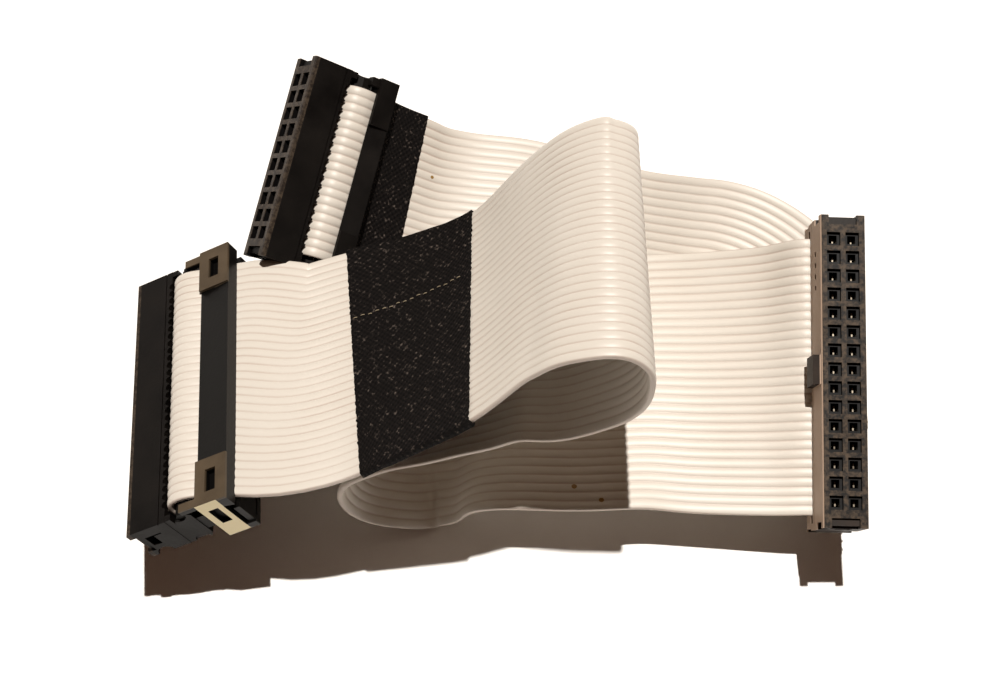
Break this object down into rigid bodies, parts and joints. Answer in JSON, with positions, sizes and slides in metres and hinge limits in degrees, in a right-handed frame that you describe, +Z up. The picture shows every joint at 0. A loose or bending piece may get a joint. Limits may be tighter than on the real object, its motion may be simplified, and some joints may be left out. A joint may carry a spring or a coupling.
{
  "type": "ribbon cable",
  "caption": "Flat ribbon cable joining three rectangular crimped sockets, looped back on itself, with cloth tape round the ribbon behind two of the sockets.",
  "frame": {"origin": "centre of the whole object's box, at the plane it rests on", "axes": "+X from the two sockets with clips towards the third socket, +Y away from the front, +Z up"},
  "size_m": [0.1032, 0.072, 0.05],
  "materials": {
    "socket_moulding": "black moulded thermoplastic, fine satin sheen",
    "clip_brown": "moulded thermoplastic with a brown-grey sheen, one end plate cream",
    "clip_black": "black moulded thermoplastic",
    "contact_metal": "pressed and tin-plated copper alloy",
    "ribbon_pvc": "extruded cream PVC, ribbed over each wire, satin",
    "cloth_tape": "black woven cloth tape"
  },
  "bodies": {
    "root": {"socket_a_body": "socket_moulding", "socket_a_cover": "socket_moulding", "socket_a_contacts_upper": "contact_metal", "socket_a_contacts_lower": "contact_metal", "socket_a_strain_relief": "clip_brown", "socket_b_body": "socket_moulding", "socket_b_cover": "socket_moulding", "socket_b_contacts_upper": "contact_metal", "socket_b_contacts_lower": "contact_metal", "socket_b_strain_relief": "clip_black", "socket_c_body": "socket_moulding", "socket_c_cover": "socket_moulding", "socket_c_contacts_left": "contact_metal", "socket_c_contacts_right": "contact_metal", "ribbon_30_way": "ribbon_pvc", "ribbon_20_way": "ribbon_pvc", "tape_wrap_wide": "cloth_tape", "tape_wrap_narrow": "cloth_tape"}
  },
  "joints": []
}
